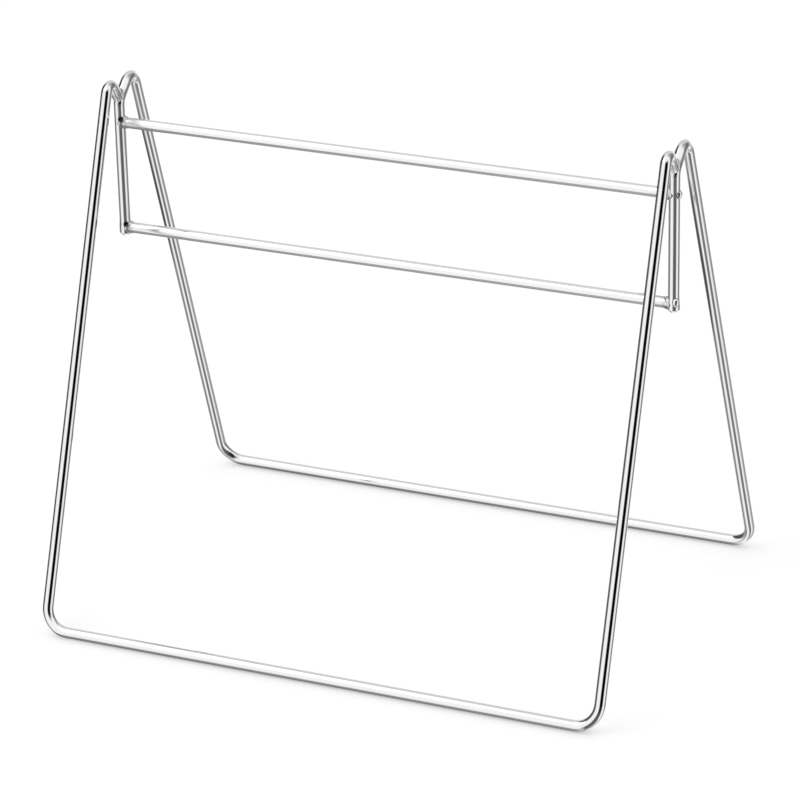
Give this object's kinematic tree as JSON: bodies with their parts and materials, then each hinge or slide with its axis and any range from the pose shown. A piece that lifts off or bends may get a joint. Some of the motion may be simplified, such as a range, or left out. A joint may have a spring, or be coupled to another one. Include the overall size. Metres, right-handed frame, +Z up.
{
  "type": "tweezer rack",
  "caption": "Standing rack of polished steel wire: front and rear frames lean together in an A shape and hold level rods that tweezers hang on.",
  "frame": {"origin": "centre of the footprint, on the table top", "axes": "+X along the rods, +Y from the front frame to the rear frame, +Z up"},
  "size_m": [0.2196, 0.159, 0.1858],
  "materials": {
    "polished_wire": "polished",
    "polished_rod": "polished"
  },
  "bodies": {
    "root": {"front_frame": "polished_wire", "rear_frame": "polished_wire", "upper_rod": "polished_rod", "lower_rod": "polished_rod"}
  },
  "joints": []
}
